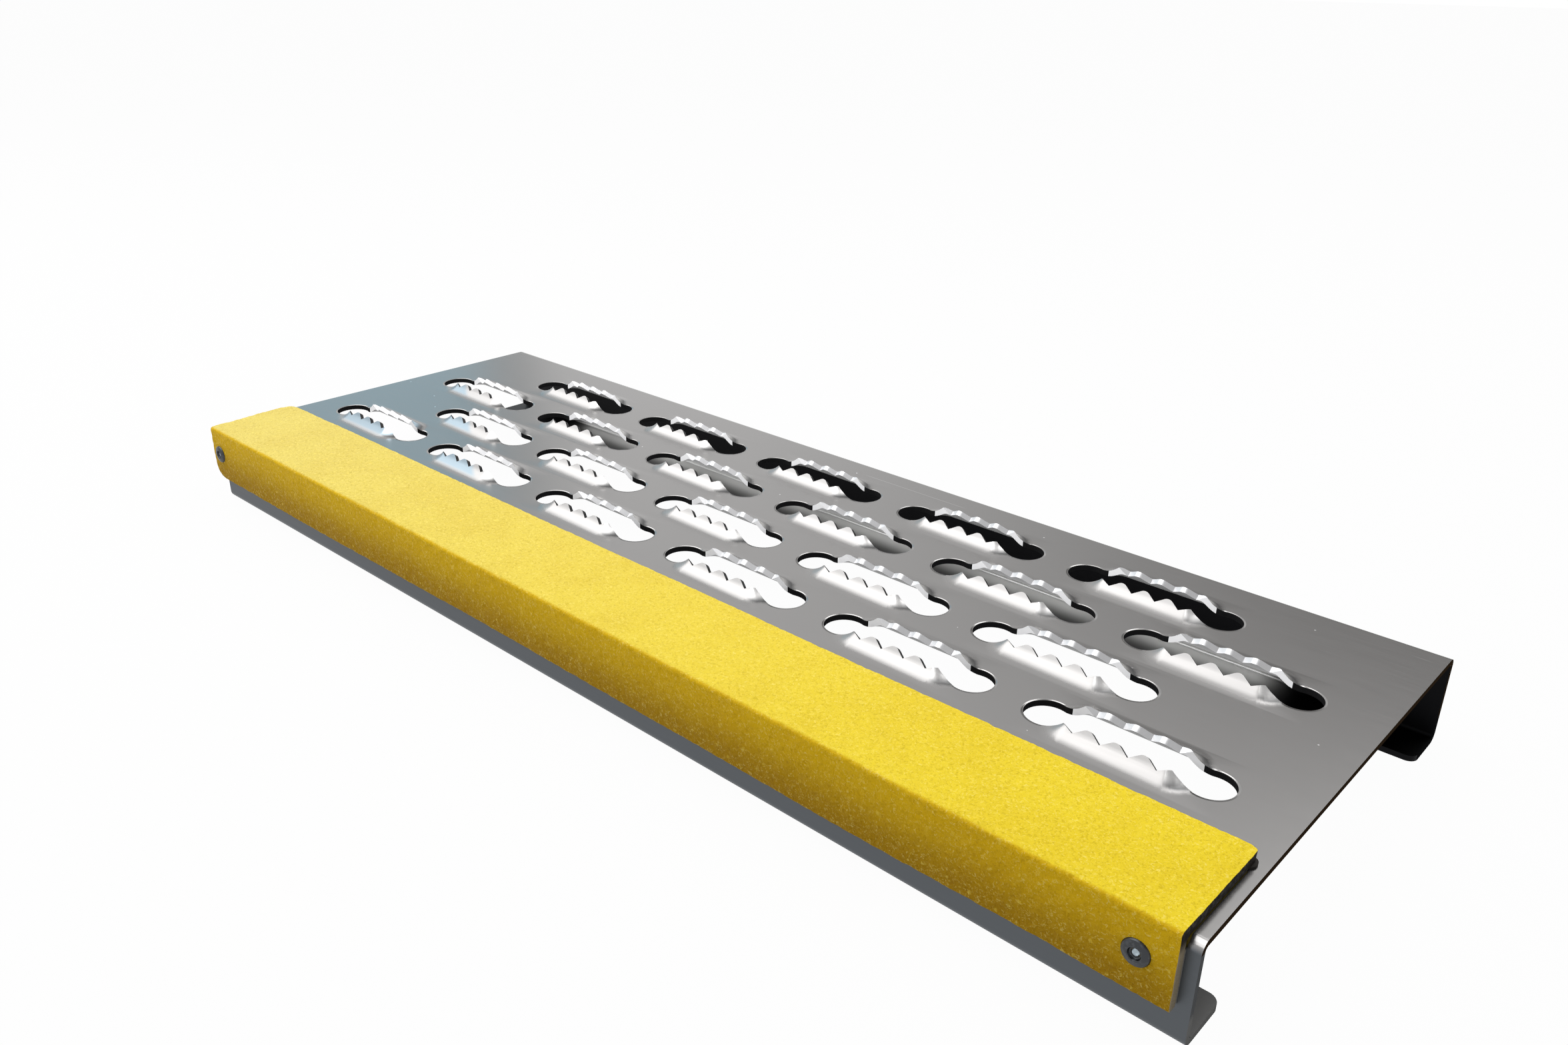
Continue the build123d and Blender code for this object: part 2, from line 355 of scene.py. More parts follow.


# %% [markdown]
# The folded sheet
#
# The solid already has every fold, slot and tooth, so its surface is used as it is. It comes as loose
# triangles, which would look faceted along the bends. A copy with its corners joined can be shaded
# smooth, and weighting its normals by face area keeps the flats flat right up to a bend.
#
# The skins of the sheet differ. The outside is satin. The inside of the channel and the sheared walls
# of the holes get painted shade that makes them almost black, while the cut faces of the teeth get
# painted highlights that make them bright. So each face is told what it is from where it lies and which
# way it points, and that needs the places of the folds and the slots.

# %% Where the folds and slots are
sheet_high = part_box("tread_plate")[1]
sheet_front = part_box("front_adhesive")[1].y
sheet_thickness = 2.5 * mm
bend_zone = sheet_thickness + 1.5 * mm
top_level = 39.0 * mm
channel_middle = 20 * mm
end_zone = 15 * mm
first_row, row_pitch, row_count = -34.3 * mm, 36.85 * mm, 4
slot_pitch, slot_shift, long_row_count = 95.35 * mm, -1.8 * mm, 6
lobe_middle, lobe_radius = 31.25 * mm, 8.75 * mm
teeth_reach = 25.5 * mm
print("slot rows at", [round((first_row + k * row_pitch) / mm, 2) for k in range(row_count)], "mm")

# %% Painted shade and highlights off the outer skin
# Painted shade: the inside of the flanges, the sheared walls, the near teeth and the front end faces.
# Painted highlights: the lips and the cut faces of the other teeth.
flange_inside_shade = (0.010, 0.010, 0.011)
underside_colour = (0.33, 0.33, 0.33)
lip_colour = (0.45, 0.45, 0.44)
shear_shade_colour = (0.02, 0.02, 0.021)
tooth_highlight_colour, end_tooth_highlight_colour = (0.66, 0.66, 0.67), (0.92, 0.92, 0.93)
near_tooth_shade_colour, near_end_highlight_colour = (0.05, 0.05, 0.05), (0.95, 0.95, 0.95)
end_colour, front_end_shade_colour = (0.035, 0.022, 0.012), (0.115, 0.12, 0.125)

# %% The sheet's surface
steep, half_turned, nearly_level, nearly_sideways = 0.3, 0.5, 0.9, 0.95
least_length = 1e-20


def joined(solid):
    """Points and triangles of a solid's mesh with the points that coincide made one."""
    mesh = solid.data
    mesh.calc_loop_triangles()
    points = np.empty(len(mesh.vertices) * 3)
    mesh.vertices.foreach_get("co", points)
    corners = np.empty(len(mesh.loop_triangles) * 3, dtype=np.int32)
    mesh.loop_triangles.foreach_get("vertices", corners)
    return merged(points.reshape(-1, 3), corners.reshape(-1, 3))


def sheet_kinds(points, triangles):
    """For each triangle, 1 on the outer skin, 1 if it is clean metal, and its colour off the outer skin,
    which is mostly painted shade or a painted highlight.

    On the flat part, a face that points down is inside. On a flange or lip, it is inside when it points
    at the middle of the channel: its normal's length along the line from there is below zero. A face of
    the flat part that points sideways is sheared. One that points up and at its own row's middle line, or
    stands near the middle of its slot, is the cut face of a tooth. The last kind that fits a face gives
    its colour."""
    a, b, c = (points[triangles[:, k]] for k in range(3))
    place = (a + b + c) / 3
    way = np.cross(b - a, c - a)
    way /= np.maximum(np.linalg.norm(way, axis=1, keepdims=True), least_length)
    from_middle = place - (0, 0, channel_middle)
    outwards = (way[:, 1:] * from_middle[:, 1:]).sum(axis=1)
    over_channel = (place[:, 1] > sheet_front + bend_zone) & (place[:, 1] < sheet_high.y - bend_zone)
    flat_part = over_channel & (place[:, 2] > top_level - 2 * sheet_thickness)
    end_face = (np.abs(way[:, 0]) > nearly_sideways) & (np.abs(place[:, 0]) > sheet_high.x - end_zone)
    inside = np.where(flat_part, way[:, 2] < -steep, outwards < 0)
    number = np.clip(np.round((place[:, 1] - first_row) / row_pitch), 0, row_count - 1)
    from_row = place[:, 1] - first_row - number * row_pitch
    inwards = -way[:, 1] * np.sign(from_row)
    along_pitch = (place[:, 0] - slot_shift) / slot_pitch + 0.5 - number % 2 / 2
    from_slot = np.abs(along_pitch - np.round(along_pitch)) * slot_pitch
    upright = flat_part & (np.abs(way[:, 2]) < steep)
    tooth = flat_part & (way[:, 2] >= steep) & (way[:, 2] < nearly_level) & (inwards > steep)
    tooth |= upright & (from_slot < teeth_reach)
    sheared = upright & ~tooth
    near_side = from_row < 0
    low_front = (place[:, 1] < 0) & (place[:, 2] < top_level - bend_zone)
    colour = np.tile(np.array(flange_inside_shade), (len(triangles), 1))
    for kind, tone in (
        (inside & (way[:, 2] < -half_turned), underside_colour),
        (inside & (way[:, 2] > half_turned), lip_colour),
        (tooth, tooth_highlight_colour),
        (tooth & upright, end_tooth_highlight_colour),
        (tooth & near_side, near_tooth_shade_colour),
        (tooth & near_side & upright, near_end_highlight_colour),
        (sheared, shear_shade_colour),
        (end_face, end_colour),
        (end_face & low_front, front_end_shade_colour),
    ):
        colour[kind] = tone
    outer = ~(inside | sheared | tooth | end_face)
    return outer.astype(float), (~(sheared | end_face)).astype(float), colour


sheet_points, sheet_triangles = joined(nodes["tread_plate"])
outer_share, metal_share, painted_inner_colour = sheet_kinds(sheet_points, sheet_triangles)
sheet = piece("folded_sheet", sheet_points, [sheet_triangles], crease=30.0)
sheet.data.attributes.new("outer_skin", "FLOAT", "FACE").data.foreach_set("value", outer_share)
sheet.data.attributes.new("clean_metal", "FLOAT", "FACE").data.foreach_set("value", metal_share)
painted_tone_rows = np.column_stack([painted_inner_colour, np.ones(len(painted_inner_colour))])
tone_store = sheet.data.attributes.new("painted_inner_tone", "FLOAT_COLOR", "FACE")
tone_store.data.foreach_set("color", painted_tone_rows.ravel())
flats = sheet.modifiers.new("flat_normals", "WEIGHTED_NORMAL")
flats.keep_sharp = True
flats.weight = 100
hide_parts("tread_plate")
print("folded sheet:", len(sheet_triangles), "triangles,", int(outer_share.sum()), "on the outer skin")

# %% [markdown]
# The steel's outer skin
#
# The outer skin is plain metal with a soft sheen. The flanges get painted shade, darker and bluer than
# the top, so the colour follows how far a face points up. The right-hand flanks of the slots' raised
# walls get painted shade at the foot and a painted highlight higher up, and those nearest the window
# get a painted bluish reflection of it. Faint cloudy patches break up the sheen, a few specks of dust lie
# on the top, and two faint lines run along its rear edge. Each of these is one blend over the last, so
# that any of them can be taken off again.

# %% Steel helpers


def principled(name):
    """A new material with its Principled shader, its node tree and its coordinates on the object."""
    paint = bpy.data.materials.new(name)
    paint.use_nodes = True
    tree = paint.node_tree
    shader = tree.nodes["Principled BSDF"]
    return paint, tree, shader, node(tree, "TexCoord").outputs


def scaled(tree, vector, factors):
    """A vector with each coordinate multiplied by its own factor."""
    return node(tree, "Mapping", Vector=vector, Scale=factors).outputs[0]


def axes(tree, vector):
    """The x, y and z of a vector."""
    return [along(tree, vector, way) for way in ((1, 0, 0), (0, 1, 0), (0, 0, 1))]


# %% Outer skin
top_colour = (0.322, 0.315, 0.310)
flange_shade_colour = (0.105, 0.114, 0.124)
flank_foot_shade, flank_highlight = (0.10, 0.10, 0.10), (0.85, 0.84, 0.83)
flange_shade_fade, painted_flank_fade = (0.15, 0.75), (0.07, 0.2)
slope_foot, slope_head = top_level + 0.3 * mm, top_level + 2.8 * mm
window_side, window_end, window_fade = (1, 1.54, 0), -200 * mm, 6 * mm
window_reflection_tint, reflection_head = (0.66, 0.84, 0.97), top_level + 1.5 * mm
cloud_scale, dust_scale, dust_patch_scale = 14.0, 95.0, 31.0
cloud_fade, speck_fade, dust_patch_fade = (0.35, 0.65, 0.0, 0.10), (0.03, 0.05, 1.0, 0.0), (0.52, 0.56)
cloud_colour, speck_colour = (0.9, 0.9, 0.9), (0.85, 0.85, 0.85)
lines = ((98.4 * mm, 10 * mm, 79 * mm), (101.1 * mm, 285 * mm, 297.5 * mm))
line_half, line_fade, line_colour = 0.35 * mm, 8 * mm, (0.46, 0.455, 0.45)


def outer_skin(tree, place, level):
    """Colour of the outer skin with its painted shade, highlight and reflection, from its place and
    direction; level is 1 where the sheet lies flat.
    """
    x, y, z = axes(tree, place["Object"])
    facing_right, _, facing_up = axes(tree, place["Normal"])
    # Painted shade on the flanges: darker and bluer as a face turns away from pointing up.
    skin = blend(tree, ease(tree, facing_up, *flange_shade_fade), flange_shade_colour, top_colour)
    # Painted shade at the foot of the raised walls' right-hand flanks and a painted highlight higher up.
    painted_flank = blend(tree, ease(tree, z, slope_foot, slope_head), flank_foot_shade, flank_highlight)
    skin = blend(tree, ease(tree, facing_right, *painted_flank_fade), skin, painted_flank)
    clouds = node(tree, "TexNoise", Vector=place["Object"], Scale=cloud_scale, Detail=3.0).outputs["Fac"]
    skin = blend(tree, ease(tree, clouds, *cloud_fade), skin, cloud_colour, "MULTIPLY")
    dots = node(tree, "TexVoronoi", Vector=place["Object"], Scale=dust_scale).outputs["Distance"]
    dust_patch = node(tree, "TexNoise", Vector=place["Object"], Scale=dust_patch_scale).outputs["Fac"]
    speck = product(tree, ease(tree, dots, *speck_fade), ease(tree, dust_patch, *dust_patch_fade), level)
    skin = blend(tree, speck, skin, speck_colour)
    # Painted bluish reflection of the window on the raised walls nearest it.
    past_window = along(tree, place["Object"], window_side)
    near_window = ease(tree, past_window, window_end - window_fade, window_end, 1.0, 0.0)
    raised = ease(tree, z, slope_foot, reflection_head)
    skin = blend(tree, product(tree, near_window, raised), skin, window_reflection_tint, "MULTIPLY")
    for line, left, right in lines:
        off = calc(tree, "ABSOLUTE", calc(tree, "SUBTRACT", y, line))
        thin = ease(tree, off, 0.0, line_half, 1.0, 0.0)
        starts = ease(tree, x, left, left + line_fade)
        stops = ease(tree, x, right - line_fade, right, 1.0, 0.0)
        skin = blend(tree, product(tree, thin, starts, stops, level), skin, line_colour)
    return skin


# %% [markdown]
# The inside of the channel
#
# Through the slots one sees the rear lip, with painted light from above and painted shade towards its
# front edge, while the flanges get painted shade that keeps them almost black. Near the rear's ends
# the lip gets painted shade as dark as theirs. The front lip shows only at its right end, painted a
# dull grey for its shade.

# %% Painted light and shade inside
lit_lip_colour, shaded_lip_colour = (0.82, 0.82, 0.81), (0.22, 0.22, 0.22)
front_lip_shade_colour = (0.20, 0.20, 0.197)
lip_level, lip_clear = 10 * mm, 14 * mm
lit_end, dark_end = 225 * mm, 250 * mm
lip_shade, lip_light = 92 * mm, 106 * mm


def inside_light_and_shade(tree, tone, place):
    """Painted light and shade of the channel's inside: each face's own colour, but the lips' by their
    place.

    The shares are products of smooth steps: low is 1 near the floor, rear is 1 behind the middle, and
    end is 1 past the lit stretch of the rear lip."""
    x, y, z = axes(tree, place["Object"])
    low = ease(tree, z, lip_level, lip_clear, 1.0, 0.0)
    rear = ease(tree, y, 0.0, 1 * mm)
    end = ease(tree, calc(tree, "ABSOLUTE", x), lit_end, dark_end)
    front_low = product(tree, low, calc(tree, "SUBTRACT", 1.0, rear))
    lit_low = product(tree, low, calc(tree, "SUBTRACT", 1.0, end), rear)
    # Painted light on the rear lip; painted shade towards its front edge, on the front lip and near the
    # ends.
    shaded = blend(tree, ease(tree, y, lip_shade, lip_light), shaded_lip_colour, lit_lip_colour)
    tone = blend(tree, front_low, tone, front_lip_shade_colour)
    tone = blend(tree, lit_low, tone, shaded)
    return blend(tree, product(tree, low, end, rear), tone, flange_inside_shade)


# %% [markdown]
# Rolled rims
#
# A punch draws the rim of a hole down a little, and that thin round edge catches the light at every lobe.
# It is too small to be worth a mesh, so it is a bump: a height that drops over the last bit of sheet.

# %% Rims of the lobes
rim_width, rim_drop = 0.9 * mm, 0.35 * mm
rim_start, rim_full = lobe_middle - 4 * mm, lobe_middle - 1 * mm


def nearest_slot(tree, x, y):
    """How far a place is from its nearest slot's middle along and across the row, and 1 if it has a slot.

    The row is round((y - first row) / row pitch), and the place along it is found in the same way. Odd
    rows are half a pitch along and hold one slot fewer."""
    from_first = calc(tree, "SUBTRACT", y, first_row)
    row = calc(tree, "ROUND", calc(tree, "DIVIDE", from_first, row_pitch))
    across = calc(tree, "SUBTRACT", from_first, product(tree, row, row_pitch))
    odd_half = product(tree, calc(tree, "MODULO", row, 2.0), 0.5)
    pitches = calc(tree, "DIVIDE", calc(tree, "SUBTRACT", x, slot_shift), slot_pitch)
    step = calc(tree, "SUBTRACT", calc(tree, "ADD", pitches, 0.5), odd_half)
    off_middle = calc(tree, "ABSOLUTE", calc(tree, "SUBTRACT", step, calc(tree, "ROUND", step)))
    last_pitch = calc(tree, "SUBTRACT", long_row_count / 2, odd_half)
    in_row = calc(tree, "LESS_THAN", calc(tree, "ABSOLUTE", pitches), last_pitch)
    below_last = calc(tree, "LESS_THAN", row, row_count - 0.5)
    above_first = calc(tree, "GREATER_THAN", row, -0.5)
    return product(tree, off_middle, slot_pitch), across, product(tree, in_row, below_last, above_first)


def rolled_rims(tree, x, y):
    """Height that drops from 0 to -1 over the last bit of sheet round the lobes of each slot.

    A place's distance from the rim is its distance from the lobe's middle, less the lobe's radius."""
    beside, across, held = nearest_slot(tree, x, y)
    from_lobe = calc(tree, "SUBTRACT", beside, lobe_middle)
    squares = [calc(tree, "POWER", calc(tree, "ABSOLUTE", part), 2.0) for part in (from_lobe, across)]
    distance = calc(tree, "SUBTRACT", calc(tree, "SQRT", calc(tree, "ADD", *squares)), lobe_radius)
    round_lobe = product(tree, ease(tree, beside, rim_start, rim_full), held)
    return product(tree, round_lobe, ease(tree, distance, 0.0, rim_width, -1.0, 0.0))


# %% [markdown]
# Steel, put together
#
# One material serves the whole sheet. Where a face is outer skin it takes that colour and a smooth sheen,
# rougher on the flanges and on the raised walls. Elsewhere it takes its own colour, mostly painted shade
# or highlight, and is rough, and the sheared and end faces aren't metal at all but matt, as a torn edge
# is. Fine grain runs along the sheet.

# %% Steel finish
skin_roughness, torn_roughness = 0.17, 0.6
flange_roughness, slope_roughness = 0.42, 0.32
level_fade, satin_fade = (0.9, 0.99), (0.05, 0.3)
rough_foot, rough_head = top_level + 0.05 * mm, top_level + 0.6 * mm
grain_stretch, grain_roughness = (60, 1400, 1400), 0.08


def steel_finish():
    """Satin sheet, with painted shade inside and painted highlights on the teeth."""
    paint, tree, steel, place = principled("satin_steel")
    x, y, z = axes(tree, place["Object"])
    facing_up = along(tree, place["Normal"], (0, 0, 1))
    level = ease(tree, facing_up, *level_fade)
    outer = node(tree, "Attribute", {"attribute_name": "outer_skin"}).outputs["Fac"]
    tone = node(tree, "Attribute", {"attribute_name": "painted_inner_tone"}).outputs["Color"]
    colour = blend(tree, outer, inside_light_and_shade(tree, tone, place), outer_skin(tree, place, level))
    feed(tree, steel.inputs["Base Color"], colour)
    clean = node(tree, "Attribute", {"attribute_name": "clean_metal"}).outputs["Fac"]
    feed(tree, steel.inputs["Metallic"], clean)
    steel.inputs["Specular IOR Level"].default_value = 0.0
    satin = ease(tree, facing_up, *satin_fade, flange_roughness, skin_roughness)
    raised = ease(tree, z, rough_foot, rough_head)
    satin = calc(tree, "ADD", satin, product(tree, raised, slope_roughness - skin_roughness))
    rough = ease(tree, calc(tree, "ADD", outer, clean), 0.0, 2.0, torn_roughness, satin)
    grain_place = scaled(tree, place["Object"], grain_stretch)
    grain = node(tree, "TexNoise", Vector=grain_place, Scale=1.0, Detail=2.0).outputs["Fac"]
    feed(tree, steel.inputs["Roughness"], calc(tree, "ADD", rough, product(tree, grain, grain_roughness)))
    bump = node(tree, "Bump", Strength=0.05, Distance=0.02 * mm, Height=grain).outputs[0]
    rims = product(tree, rolled_rims(tree, x, y), level)
    rolled = node(tree, "Bump", Strength=1.0, Distance=rim_drop, Height=rims, Normal=bump).outputs[0]
    feed(tree, steel.inputs["Normal"], rolled)
    return paint


sheet.data.materials.append(steel_finish())

# %% [markdown]
# The gritted nosing
#
# The nosing is an angle moulded from resin and coated with grit. Its section is a short outline that is
# carried along the tread, so the whole surface is one grid: how far round the section, and how far from
# end to end. The ends aren't straight: the left one was cut out of square and its corners are rounded, so
# each line of the grid starts and stops where the section says. The rear and bottom edges were cut by
# hand too and wave by half a millimetre. Last, seeded noise lifts the coated faces into grit.

# %% The nosing's shape
nosing_low, nosing_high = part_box("nosing")
nosing_wall = 3.2 * mm
outer_bend, inner_bend = 1.5 * mm, 1.0 * mm
nosing_face, nosing_rear = nosing_low.y, nosing_high.y
nosing_foot, nosing_crown = nosing_low.z, nosing_high.z
nosing_right = nosing_high.x
nosing_left = -295.0 * mm
left_skew = 4.5 * mm
rear_left_round, rear_right_round, low_left_round = 8 * mm, 3 * mm, 9 * mm
grit_pitch, head_clearance = 0.8 * mm, 5.4 * mm
fine_grit, coarse_grit, most_grit = 0.07 * mm, 0.06 * mm, 0.25 * mm
inner_points = 25
coated_per_inner = 4


def corner_cut(distance, radius):
    """How far a rounded corner sets an end back, at a distance from the edge it rounds off."""
    inside = np.clip(radius - distance, 0, radius)
    return radius - np.sqrt(radius ** 2 - inside ** 2)


def wave(x, bumps):
    """Sum of smooth bumps (middle, half width, height) along the tread."""
    return sum(height * np.exp(-((x - middle) / width) ** 2) for middle, width, height in bumps)


def noise_sheet(shape, smoothings, seed):
    """Seeded random grid, smoothed by its neighbours a number of times and brought to a spread of 1."""
    field = np.random.default_rng(seed).normal(size=shape)
    for _ in range(smoothings):
        for axis in (0, 1):
            field = (np.roll(field, 1, axis) + 2 * field + np.roll(field, -1, axis)) / 4
    return field / field.std()


rear_waves = (
    (-0.215, 0.045, 0.35 * mm),
    (-0.02, 0.06, -0.35 * mm),
    (0.13, 0.04, -0.3 * mm),
    (0.262, 0.03, -0.3 * mm),
)
foot_waves = (
    (-0.19, 0.05, -0.4 * mm),
    (-0.03, 0.05, 0.5 * mm),
    (0.17, 0.035, -0.5 * mm),
    (0.247, 0.02, 0.4 * mm),
)
edge_reach = 6 * mm


def nosing_grid():
    """Points of the nosing, section by length, its coated rows first and then its bare inner rows.

    A row starts and stops at the ends given for its place in the section. Rows near the rear and bottom
    edges follow those edges' waves, less and less as exp(-distance / reach). Coated rows move along
    their normals by the grit."""
    coated = spaced(rounded([
        (nosing_rear, nosing_crown, 0),
        (nosing_face, nosing_crown, outer_bend),
        (nosing_face, nosing_foot, 0),
    ]), coated_per_inner * (inner_points - 1) + 1)
    bare = spaced(rounded([
        (nosing_face + nosing_wall, nosing_foot, 0),
        (nosing_face + nosing_wall, nosing_crown - nosing_wall, inner_bend),
        (nosing_rear, nosing_crown - nosing_wall, 0),
    ]), inner_points)
    section = np.vstack([coated, bare])
    y, z = section[:, :1], section[:, 1:]
    depth = np.clip((nosing_rear - y) / (nosing_rear - nosing_face), 0, 1)
    start = nosing_left + left_skew * depth
    start = start + corner_cut(nosing_rear - y, rear_left_round)
    start = start + corner_cut(z - nosing_foot, low_left_round)
    stop = nosing_right - corner_cut(nosing_rear - y, rear_right_round)
    stations = np.linspace(0, 1, int((nosing_right - nosing_left) / grit_pitch))
    x = start + (stop - start) * stations
    slope = np.gradient(coated, axis=0)
    normal = np.column_stack([slope[:, 1], -slope[:, 0]]) / np.linalg.norm(slope, axis=1, keepdims=True)
    shape = (len(coated), len(stations))
    grit = fine_grit * noise_sheet(shape, 1, seed=5) + coarse_grit * noise_sheet(shape, 6, seed=9)
    grit = np.clip(grit, -most_grit, most_grit)
    for side_name in ("left", "right"):
        low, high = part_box(side_name + "_rivet_body")
        reach = np.hypot(x[:len(coated)] - (low.x + high.x) / 2, z[:len(coated)] - (low.z + high.z) / 2)
        grit *= reach > head_clearance
    top_part = z > nosing_crown - 1.5 * nosing_wall
    y = y + wave(x, rear_waves) * np.exp((y - nosing_rear) / edge_reach) * top_part
    z = z + wave(x, foot_waves) * np.exp((nosing_foot - z) / edge_reach)
    y[:len(coated)] += grit * normal[:, :1]
    z[:len(coated)] += grit * normal[:, 1:]
    return np.stack([x, y, z], axis=-1), len(coated)


def nosing_faces(rows, stations, coated):
    """Quads of the closed band round the section, and the faces that close its two ends.

    An end is closed by one face between each pair of inner points and the coated points across from
    them, which keeps every face nearly flat."""
    number = np.arange(rows * stations).reshape(rows, stations)
    after = np.roll(number, -1, axis=0)
    band = np.stack([number[:, :-1], number[:, 1:], after[:, 1:], after[:, :-1]], axis=-1).reshape(-1, 4)
    ends = []
    for station, order in ((0, 1), (-1, -1)):
        column = number[:, station]
        outer, inner = column[:coated], column[coated:][::-1]
        groups = np.arange(inner_points - 1)[:, None] * coated_per_inner + np.arange(coated_per_inner + 1)
        cap = np.column_stack([outer[groups], inner[1:], inner[:-1]])
        ends.append(cap[:, ::order])
    return [band] + ends


nosing_points, coated_rows = nosing_grid()
rows, stations = nosing_points.shape[:2]
nosing_points = nosing_points.reshape(-1, 3)
nosing_parts = nosing_faces(rows, stations, coated_rows)
if signed_volume(nosing_points, nosing_parts[0]) < 0:
    nosing_parts = [part[:, ::-1] for part in nosing_parts]
nosing = piece("grit_nosing", nosing_points, nosing_parts, crease=50.0)
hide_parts("nosing")
print("nosing:", 2 * len(nosing_parts[0]), "triangles in its band")

# %% [markdown]
# Yellow grit
#
# The coating is coloured sand in resin. On the top it is a clear yellow with a painted sheen that makes
# it a little paler towards the left; the front is a deeper, browner yellow with painted shade that
# darkens it towards its bottom edge. The sand gets painted shade in its hollows and painted highlights
# on its tops, single grains a painted glint, and large soft patches differ a little. The cut right end
# shows dark resin.

# %% Grit finish
sheen_yellow, clear_yellow = (0.72, 0.588, 0.150), (0.875, 0.665, 0.027)
front_yellow, low_shade_brown = (0.78, 0.49, 0.006), (0.42, 0.235, 0.004)
resin_brown, resin_black = (0.30, 0.25, 0.17), (0.014, 0.011, 0.008)
sheen_end, clear_end = -330 * mm, 300 * mm
front_foot, front_head = nosing_foot, nosing_crown - 2 * mm
edge_front, edge_top = nosing_face + 0.2 * mm, nosing_face + 1.6 * mm
cut_start, cut_full = nosing_right - 0.35 * mm, nosing_right - 0.15 * mm
resin_low, resin_high = nosing_crown - 9 * mm, nosing_crown - 3 * mm
patch_scale, sand_scale, grain_scale = 38.0, 950.0, 900.0
patch_fade, hollow_shade_fade = (0.42, 0.68, 0.0, 0.22), (0.30, 0.50, 0.75, 0.0)
grain_top_highlight_fade, grain_glint_fade = (0.55, 0.70, 0.0, 0.35), (0.965, 1.0, 0.0, 0.28)
worn_tint, hollow_shade_tint = (0.84, 0.76, 0.6), (0.78, 0.72, 0.55)
grain_top_highlight_colour, grain_glint_colour = (1.0, 0.88, 0.30), (1.0, 0.80, 0.12)


def grit_finish():
    """Sand grains in yellow resin with painted sheen, shade and glints, dark where the right end is cut.

    Each fade is a smooth step of a noise: its low and high, and the share of a tint at each of them."""
    paint, tree, coat, place = principled("yellow_grit")
    x, y, z = axes(tree, place["Object"])
    # Painted sheen: the top is paler towards the left.
    top = blend(tree, ease(tree, x, sheen_end, clear_end), sheen_yellow, clear_yellow)
    # Painted shade: the front darkens towards its bottom edge.
    front = blend(tree, ease(tree, z, front_foot, front_head), low_shade_brown, front_yellow)
    colour = blend(tree, ease(tree, y, edge_front, edge_top), front, top)
    patches = node(tree, "TexNoise", Vector=place["Object"], Scale=patch_scale, Detail=4.0).outputs["Fac"]
    colour = blend(tree, ease(tree, patches, *patch_fade), colour, worn_tint, "MULTIPLY")
    sand = node(tree, "TexNoise", Vector=place["Object"], Scale=sand_scale, Detail=3.0, Distortion=1.2)
    height = sand.outputs["Fac"]
    # Painted shade in the hollows of the sand and painted highlights on its tops, which are also its bump.
    colour = blend(tree, ease(tree, height, *hollow_shade_fade), colour, hollow_shade_tint, "MULTIPLY")
    colour = blend(tree, ease(tree, height, *grain_top_highlight_fade), colour, grain_top_highlight_colour)
    # Painted glints on single grains.
    cells = node(tree, "TexVoronoi", Vector=place["Object"], Scale=grain_scale)
    grain = along(tree, cells.outputs["Color"], (1, 0, 0))
    colour = blend(tree, ease(tree, grain, *grain_glint_fade), colour, grain_glint_colour)
    resin = blend(tree, ease(tree, z, resin_low, resin_high), resin_brown, resin_black)
    colour = blend(tree, ease(tree, x, cut_start, cut_full), colour, resin)
    feed(tree, coat.inputs["Base Color"], colour)
    feed(tree, coat.inputs["Roughness"], ease(tree, grain, 0.0, 1.0, 0.75, 0.5))
    coat.inputs["Specular IOR Level"].default_value = 0.08
    bump = node(tree, "Bump", Strength=0.8, Distance=0.4 * mm, Height=height).outputs[0]
    feed(tree, coat.inputs["Normal"], bump)
    return paint


nosing.data.materials.append(grit_finish())

# %% [markdown]
# Adhesive
#
# A black flexible adhesive beds the nosing. Only a thin line of it shows, so its solids stay and get a
# dull, slightly lumpy rubber.

# %% Adhesive finish
lump_scale = 420.0


def adhesive_finish(name, dark, light):
    """Rubber with a dull, uneven skin."""
    paint, tree, rubber, place = principled(name)
    lumps = node(tree, "TexNoise", Vector=place["Object"], Scale=lump_scale, Detail=3.0).outputs["Fac"]
    feed(tree, rubber.inputs["Base Color"], blend(tree, lumps, dark, light))
    rubber.inputs["Specular IOR Level"].default_value = 0.2
    rubber.inputs["Roughness"].default_value = 0.6
    bump = node(tree, "Bump", Strength=0.4, Distance=0.3 * mm, Height=lumps).outputs[0]
    feed(tree, rubber.inputs["Normal"], bump)
    return paint


rubber_tones = {
    "top_adhesive": ((0.006, 0.005, 0.004), (0.035, 0.028, 0.02)),
    "front_adhesive": ((0.15, 0.14, 0.125), (0.27, 0.25, 0.22)),
}
for name, (dark, light) in rubber_tones.items():
    solid = nodes[name]
    solid.data.materials.clear()
    solid.data.materials.append(adhesive_finish(name + "_rubber", dark, light))

# %% [markdown]
# The blind rivets
#
# A blind rivet is a turned thing: one outline spun about an axis. The body has a domed head with an open
# middle, a shank and the bulge at its blind end, and the broken pin sits inside it. Spinning an outline
# that closes on itself gives a closed ring. The pin's outline touches the axis at both ends, where its
# ring of points shrinks to one. The outlines are in millimetres: how far each corner is from the axis, how
# high it stands over the nosing's face, and how much it is rounded.

# %% Turning
turn_steps = 64


def turned(name, outline, centre):
    """Spins an outline of (radius, height along -Y) about an axis through the centre.

    A point at angle t is (r cos t, -h, r sin t). Points that coincide on the axis are made one."""
    angle = np.linspace(0, 2 * pi, turn_steps, endpoint=False)
    radius, height = outline[:, :1], outline[:, 1:]
    spots = np.stack([radius * np.cos(angle), -height + 0 * angle, radius * np.sin(angle)], axis=-1)
    number = np.arange(spots.shape[0] * turn_steps).reshape(-1, turn_steps)
    on, after = np.roll(number, -1, axis=0), np.roll(number, -1, axis=1)
    both = np.roll(on, -1, axis=1)
    quads = np.stack([number, on, both, after], axis=-1).reshape(-1, 4)
    points = spots.reshape(-1, 3) + np.array(centre)
    if signed_volume(points, quads) < 0:
        quads = quads[:, ::-1]
    points, triangles = merged(points, np.vstack([quads[:, (0, 1, 2)], quads[:, (0, 2, 3)]]))
    return piece(name, points, [triangles], crease=32.0)


